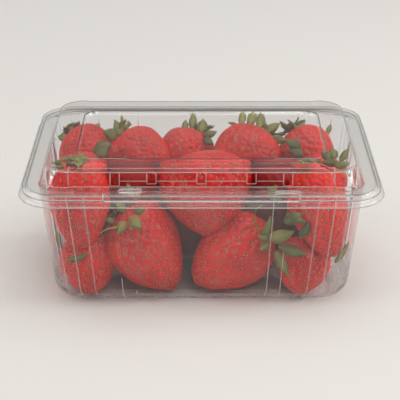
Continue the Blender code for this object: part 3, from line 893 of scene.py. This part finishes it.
def makeSkinPaint():
    paint = Paint("berrySkin")
    where = paint.where()
    dent = paint.layer("dent")
    along = paint.layer("along")
    cloud = paint.noise(where, 55.0, 3.0)
    fine = paint.noise(where, 900.0, 3.0, 0.6)
    inner = paint.layer("inner")
    body = paint.mix(paint.ramp(cloud, 0.3, 0.7), fruit["deepRed"], fruit["brightRed"])
    # painted shade: darker red down in the dimples round the seeds
    body = paint.mix(dent * 0.8, body, fruit["dimpleShadeRed"])
    # painted highlights: pale rings round the seeds, in patches, painted into the colour as glints
    patch = paint.noise(where, 34.0, 1.0)
    ring = paint.ramp(dent, 0.06, 0.18) * paint.ramp(dent, 0.42, 0.26) * paint.ramp(patch, 0.52, 0.66, 0.06, 0.36)
    body = paint.mix(ring, body, fruit["ring"])
    shoulder = paint.ramp(along + cloud * 0.14, -0.80, -1.0, 0.0, 0.7)
    body = paint.mix(shoulder, body, fruit["shoulder"])
    # painted shade: the berries deep in the heap are darkened and lose their coat
    colour = paint.mix(inner, body, fruit["paintedShadeRed"])
    bumps = paint.bump(0.25, 0.0003, fine)
    skin = paint.node("BsdfPrincipled", None, Base_Color=colour,
                      Roughness=0.30 + cloud * 0.1 + dent * 0.1 + inner * 0.3, Normal=bumps,
                      Subsurface_Weight=0.1, Subsurface_Radius=(0.003, 0.0008, 0.0006), Subsurface_Scale=1.0,
                      Specular_IOR_Level=0.2, Coat_Weight=fruit["coat"] - inner * fruit["coat"], Coat_Roughness=0.06,
                      Coat_IOR=1.5)
    return paint.output(skin)


def makeSeedPaint():
    paint = Paint("seedPaint")
    tone = paint.layer("tone")
    where = paint.where()
    fine = paint.noise(where, 1600.0, 2.0)
    colour = paint.mix(tone, fruit["seed"], fruit["paleSeed"])
    colour = paint.mix(fine * 0.5, colour, fruit["seedEdge"])
    bumps = paint.bump(0.3, 0.0001, fine)
    skin = paint.node("BsdfPrincipled", None, Base_Color=colour, Roughness=0.3 + fine * 0.2, Normal=bumps)
    return paint.output(skin)


def makeFruit():
    skinPaint, seedPaint = makeSkinPaint(), makeSeedPaint()
    groups = (("berriesFront", berries[:7]), ("berriesBack", berries[7:12]), ("berriesUnder", berries[12:]))
    seeds = bmesh.new()
    seeds.verts.layers.float.new("tone")
    number = 0
    made = []
    for name, rows in groups:
        bm = bmesh.new()
        for layer in ("dent", "along", "inner"):
            bm.verts.layers.float.new(layer)
        dent, along, inner = (bm.verts.layers.float[layer] for layer in ("dent", "along", "inner"))
        for row in rows:
            berry = Berry(number, row)
            ways = berry.seedWays()
            addSkin(bm, berry, ways, dent, along, inner)
            if berry.detail > 5:
                addSeeds(seeds, berry, ways)
            made.append(berry)
            number += 1
        obj = finishObject(name, bm, skinPaint)
        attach(obj, "tub")
        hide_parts("strawberries")
        print(name, len(obj.data.polygons))
    obj = finishObject("seeds", seeds, seedPaint)
    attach(obj, "tub")
    print("seeds", len(obj.data.polygons))
    return made


# calyxes and stalks
calyx = {
    "length": 0.46, "width": 0.27, "thickness": 0.35,
    "dark": (0.060, 0.060, 0.014, 1), "pale": (0.27, 0.25, 0.055, 1), "patch": (0.34, 0.31, 0.08, 1),
}
# long leaves that stand off the fruit: foot, tip, width, bulge, paleness
longLeaves = (
    ((-75.2, 22, 64.5), (-81.2, 27, 66.4), 4.6, 0.8, 0.75),
    ((-72.0, 27, 66.4), (-75.0, 34, 70.0), 3.8, 0.5, 0.7),
    ((-59.0, 28, 69.6), (-57.5, 34, 70.3), 2.5, 0.3, 0.5),
    ((-47.4, 19, 67.0), (-54.7, 22, 70.5), 6.6, 1.2, 0.45),
    ((-44.9, 24, 66.1), (-49.5, 38, 70.8), 5.2, 0.8, 0.6),
    ((-41.7, 27, 66.7), (-43.2, 36, 68.9), 3.0, 0.4, 0.6),
    ((-49.4, 8, 67.9), (-59.7, 5, 65.0), 6.5, 1, 0.15),
    ((-50.9, 5, 66.2), (-58.5, 2, 62.2), 6.0, 1, 0.1),
    ((-64.4, -20, 71.6), (-76.2, -27, 72.6), 2.8, 1.0, 0.6),
    ((-72.1, -32, 73.3), (-77.9, -34, 76.7), 3.2, 0.8, 0.3),
    ((-70.6, -36, 73.4), (-76.8, -40, 76.3), 2.8, 0.8, 0.35),
    ((-75.7, -38, 70.3), (-81.3, -36, 71.2), 2.4, 0.6, 0.5),
    ((-9.8, 34, 66.3), (-8.7, 42, 69.3), 3.8, 0.6, 0.55),
    ((-5.3, 35, 66.8), (-4.7, 47, 71.6), 4.6, 0.6, 0.6),
    ((-0.7, 32, 65.3), (1.0, 42, 69.9), 6.4, 1, 0.6),
    ((1.0, 28, 65.1), (8.9, 32, 65.9), 4.2, 0.8, 0.2),
    ((1.5, 25, 64.5), (6.5, 20, 63.6), 5, 0.8, 0.15),
    ((20.1, 30, 70.7), (15.1, 33, 71.0), 1.8, 0.2, 0.5),
    ((22.3, 31, 70.3), (23.8, 44, 74.6), 4.2, 0.7, 0.7),
    ((26.8, 31, 70.3), (30.4, 45, 74.5), 5.2, 0.8, 0.7),
    ((32.5, 30, 68.5), (34.0, 43, 73.8), 5.4, 0.9, 0.55),
    ((35.8, 28, 67.8), (44.5, 34, 70.3), 5.2, 0.9, 0.65),
    ((38.9, 22, 66.3), (47.7, 20, 65.4), 5.2, 0.8, 0.2),
    ((53.4, 24, 69.1), (58.5, 33, 71.6), 4.2, 0.7, 0.65),
    ((53.1, 28, 69.6), (51.4, 33, 71.0), 1.9, 0.2, 0.5),
    ((70.8, 30, 65.5), (73.5, 36, 68.9), 2.8, 0.3, 0.55),
    ((54.4, 5, 66.2), (45.7, 8, 70.3), 6.4, 1, 0.15),
    ((55.4, 2, 62.8), (47.8, 4, 66.1), 6, 1, 0.12),
    ((67.2, -20, 70.4), (63.9, -14, 74.2), 4.8, 0.8, 0.3),
    ((69.8, -20, 71.6), (68.8, -12, 74.5), 4.8, 0.8, 0.25),
    ((72.8, -22, 70.7), (77.1, -16, 75.9), 3.6, 0.6, 0.45),
    ((69.6, -28, 70.8), (77.6, -26, 71.7), 4.0, 0.6, 0.5),
    ((76.3, -34, 68.3), (80.9, -32, 70.2), 2.6, 0.3, 0.5),
    ((72.5, -25, 70.3), (62.8, -22, 70.2), 4.2, 0.8, 0.3),
    ((-45.3, -36, 42.2), (-51.0, -36, 44.3), 3.2, 0.6, 0.55),
    ((-39.1, -42, 45.7), (-43.6, -47, 41.0), 5.2, 0.9, 0.85),
    ((-36.4, -43, 49.4), (-31.1, -49, 45.1), 6.8, 1.2, 0.8),
    ((-35.0, -40, 49.7), (-29.1, -42, 54.6), 4.4, 0.8, 0.6),
    ((-39.9, -36, 47.8), (-44.5, -36, 53.5), 4.4, 0.8, 0.25),
    ((-36.2, -42, 59.7), (-38.1, -42, 67.1), 3.4, 0.6, 0.9),
    ((-34.7, -42, 58.6), (-31.0, -42, 63.7), 3.2, 0.6, 0.75),
    ((-76.0, -36, 36.7), (-74.1, -38, 27.6), 2.8, 0.4, 0.5),
    ((-70.8, -46, 25.0), (-58.3, -44, 28.1), 3.2, 0.8, 0.35),
    ((31.7, -41, 35.6), (36.2, -40, 47.9), 4.8, 1.6, 0.6),
    ((34.7, -43, 36.1), (47.8, -47, 42.7), 7.0, 1.2, 0.65),
    ((40.1, -43, 32.0), (55.6, -46, 28.8), 6.0, 1.0, 0.35),
    ((38.9, -45, 30.1), (45.9, -48, 16.6), 5.4, 0.9, 0.55),
    ((35.9, -42, 32.6), (30.5, -46, 31.2), 4.6, 0.8, 0.7),
    ((35.3, -42, 35.0), (29.9, -45, 38.2), 4.2, 0.7, 0.65),
    ((70.2, -44, 22.8), (78.2, -38, 32.4), 3.0, 0.5, 0.6),
    ((34.2, -42, 60.3), (38.9, -40, 65.1), 5.0, 0.8, 0.5),
    ((35.3, -42, 58.6), (42.6, -40, 60.5), 4.2, 0.8, 0.3),
    # the last three leaves are painted near-black: painted shade beside the right front berry
    ((42.5, -47, 47.9), (51.0, -48, 53.5), 6.5, 1, 0.04),
    ((43.5, -46, 52.0), (53.6, -49, 48.9), 5.5, 1, 0.02),
    ((51.0, -48, 39.2), (55.2, -49, 48.9), 5.5, 1, 0.03),
)
# thin stalks with the leaves, as paths
tendrils = (
    ((-40.2, -42, 44.3), (-44.6, -46, 44.2), (-48.2, -47, 44.2), (-50.8, -47, 42.7), (-52.4, -47, 41.4)),
    ((32.7, -41, 35.6), (29.0, -41, 41.5), (27.3, -41, 47.8), (28.2, -41, 52.4), (31.3, -41, 54.7)),
)


def addSepal(bm, berry, turn, length, width, lift, curl, twist, tone, value):
    r0, z0 = 1.2, -berry.half - 0.3
    steps = 14
    line = [(r0, z0, 0.0)]
    for i in range(steps):
        phi = lift + curl * (i + 0.5) / steps
        r, z, s = line[-1]
        line.append((r + length / steps * math.cos(phi), z - length / steps * math.sin(phi), s + length / steps))
    spin = Matrix.Rotation(turn, 4, "Z")
    for vert in bmesh.ops.create_grid(bm, x_segments=7, y_segments=4, size=0.5)["verts"]:
        t, side = vert.co.x + 0.5, vert.co.y * 2
        k = min(steps - 1, int(t * steps))
        f = t * steps - k
        r = line[k][0] * (1 - f) + line[k + 1][0] * f
        z = line[k][1] * (1 - f) + line[k + 1][1] * f
        wide = width * math.sin(math.pi * (0.14 + 0.86 * t) ** 0.85) ** 0.75
        fold = 0.18 * width * (abs(side) ** 1.4) + 0.10 * width * math.sin(9 * t + side * 2 + turn) * abs(side)
        bend = twist * t * side
        point = Vector((r, side * wide * 0.5, z - fold - bend))
        # never sinks into the fruit
        share = max(-1.0, min(1.0, point.z / berry.half))
        need = berry.around(share) * 1.03 + 0.4
        flat = math.hypot(point.x, point.y)
        if abs(point.z) < berry.half and flat < need:
            grow = need / max(flat, 0.1)
            point.x, point.y = point.x * min(grow, 1.6), point.y * min(grow, 1.25)
        vert.co = holdInside(berry.place @ (spin @ point), fruit["wallGap"]) * mm
        vert[tone] = value


# broad leaf from foot to tip, its face towards the front and up
def addLeaf(bm, foot, tip, width, bulge, tone, value):
    foot, tip = Vector(foot), Vector(tip)
    axis = (tip - foot).normalized()
    facing = Vector((0.0, -0.9, 0.45))
    facing = (facing - axis * facing.dot(axis)).normalized()
    across = axis.cross(facing)
    for vert in bmesh.ops.create_grid(bm, x_segments=10, y_segments=4, size=0.5)["verts"]:
        t, side = vert.co.x + 0.5, vert.co.y * 2
        wide = width * 0.5 * math.sin(math.pi * (0.05 + 0.95 * t) ** 0.85) ** 0.95
        wave = 0.10 * width * math.sin(8 * t + 2 * side + foot.x)
        lift = bulge * math.sin(math.pi * t) - 0.16 * width * abs(side) ** 1.5 + wave * abs(side)
        sway = bulge * 0.5 * math.sin(math.pi * t)
        point = foot.lerp(tip, t) + across * (side * wide + sway) + facing * lift
        vert.co = holdInside(point, fruit["wallGap"]) * mm
        vert[tone] = value * (1 - 0.35 * abs(side)) + (0.25 if abs(side) < 0.1 else 0.0)


def makeLeafPaint():
    paint = Paint("leafPaint")
    where = paint.where()
    tone = paint.layer("tone")
    cloud = paint.noise(where, 120.0, 3.0)
    fine = paint.noise(where, 900.0, 3.0)
    colour = paint.mix(tone, calyx["dark"], calyx["pale"])
    colour = paint.mix(paint.ramp(cloud, 0.40, 0.75, 0.0, 0.5), colour, calyx["patch"])
    bumps = paint.bump(0.5, 0.0003, fine)
    skin = paint.node("BsdfPrincipled", None, Base_Color=colour, Roughness=0.45 + fine * 0.2,
                      Subsurface_Weight=0.08, Subsurface_Radius=(0.001, 0.0015, 0.0004), Subsurface_Scale=1.0,
                      Normal=bumps)
    return paint.output(skin)


def makeCalyxes(fruits):
    draw = random.Random(11)
    leafPaint = makeLeafPaint()
    bm = bmesh.new()
    tone = bm.verts.layers.float.new("tone")
    stems = bmesh.new()
    stemTone = stems.verts.layers.float.new("tone")
    for berry in fruits:
        for i in range(berry.sepals):
            turn = math.tau * (i + draw.uniform(-0.22, 0.22)) / berry.sepals
            length = berry.radius * calyx["length"] * draw.uniform(0.75, 1.2)
            width = berry.radius * calyx["width"] * draw.uniform(0.8, 1.2)
            lift = draw.uniform(0.1, 1.0)
            curl = draw.uniform(-1.3, 0.5)
            addSepal(bm, berry, turn, length, width, lift, curl, draw.uniform(-1, 1), tone, draw.random())
        if berry.sepals:
            path = [berry.place @ Vector((0.075 * i * i, 0, -berry.half + 1.0 - 1.1 * i)) for i in range(6)]
            addBead(stems, [holdInside(p, fruit["wallGap"] + 1.0) for p in path], 0.95, corners=8, thin=0.25)
    for foot, tip, width, bulge, value in longLeaves:
        addLeaf(bm, foot, tip, width, bulge, tone, value)
    for path in tendrils:
        addBead(stems, [holdInside(Vector(p), fruit["wallGap"] + 0.6) for p in path], 0.6, corners=8, thin=0.5)
    for vert in stems.verts:
        vert[stemTone] = 0.8
    bmesh.ops.recalc_face_normals(bm, faces=bm.faces)
    leaves = finishObject("sepals", bm, leafPaint)
    thicken(leaves, calyx["thickness"], offset=0.0)
    bmesh.ops.recalc_face_normals(stems, faces=stems.faces)
    stalks = finishObject("stalks", stems, leafPaint)
    for obj in (leaves, stalks):
        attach(obj, "tub")
    print("sepals", len(leaves.data.polygons))


# dark middle of the heap: its colour is painted shade, a dark body standing in for the shade deep among the berries
core = {
    "size": (114.0, 50.0, 38.0), "centre": (0.0, 2.0, 30.0), "bevel": 12.0,
    "dark": (0.05, 0.004, 0.004, 1), "light": (0.16, 0.010, 0.008, 1),
}


def makeCore():
    paint = Paint("coreShadePaint")
    where = paint.where()
    cloud = paint.noise(where, 90.0, 3.0)
    colour = paint.mix(cloud, core["dark"], core["light"])
    bumps = paint.bump(0.6, 0.002, cloud)
    skin = paint.node("BsdfPrincipled", None, Base_Color=colour, Roughness=0.5 + cloud * 0.2, Normal=bumps)
    material = paint.output(skin)
    bm = bmesh.new()
    place = Matrix.LocRotScale(Vector(core["centre"]) * mm, None, Vector(core["size"]) * mm)
    bmesh.ops.create_cube(bm, size=1.0, matrix=place)
    bmesh.ops.bevel(bm, geom=bm.edges[:], offset=core["bevel"] * mm, segments=4, profile=0.5, affect="EDGES",
                    material=-1)
    bmesh.ops.subdivide_edges(bm, edges=bm.edges[:], cuts=3, use_grid_fill=True)
    for vert in bm.verts:
        vert.co += vert.co.normalized() * 0.002 * noise.noise(vert.co * 90)
    obj = finishObject("heapCore", bm, material)
    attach(obj, "tub")
    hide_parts("strawberries")


makeCalyxes(makeFruit())
makeCore()
print("fruit ready")
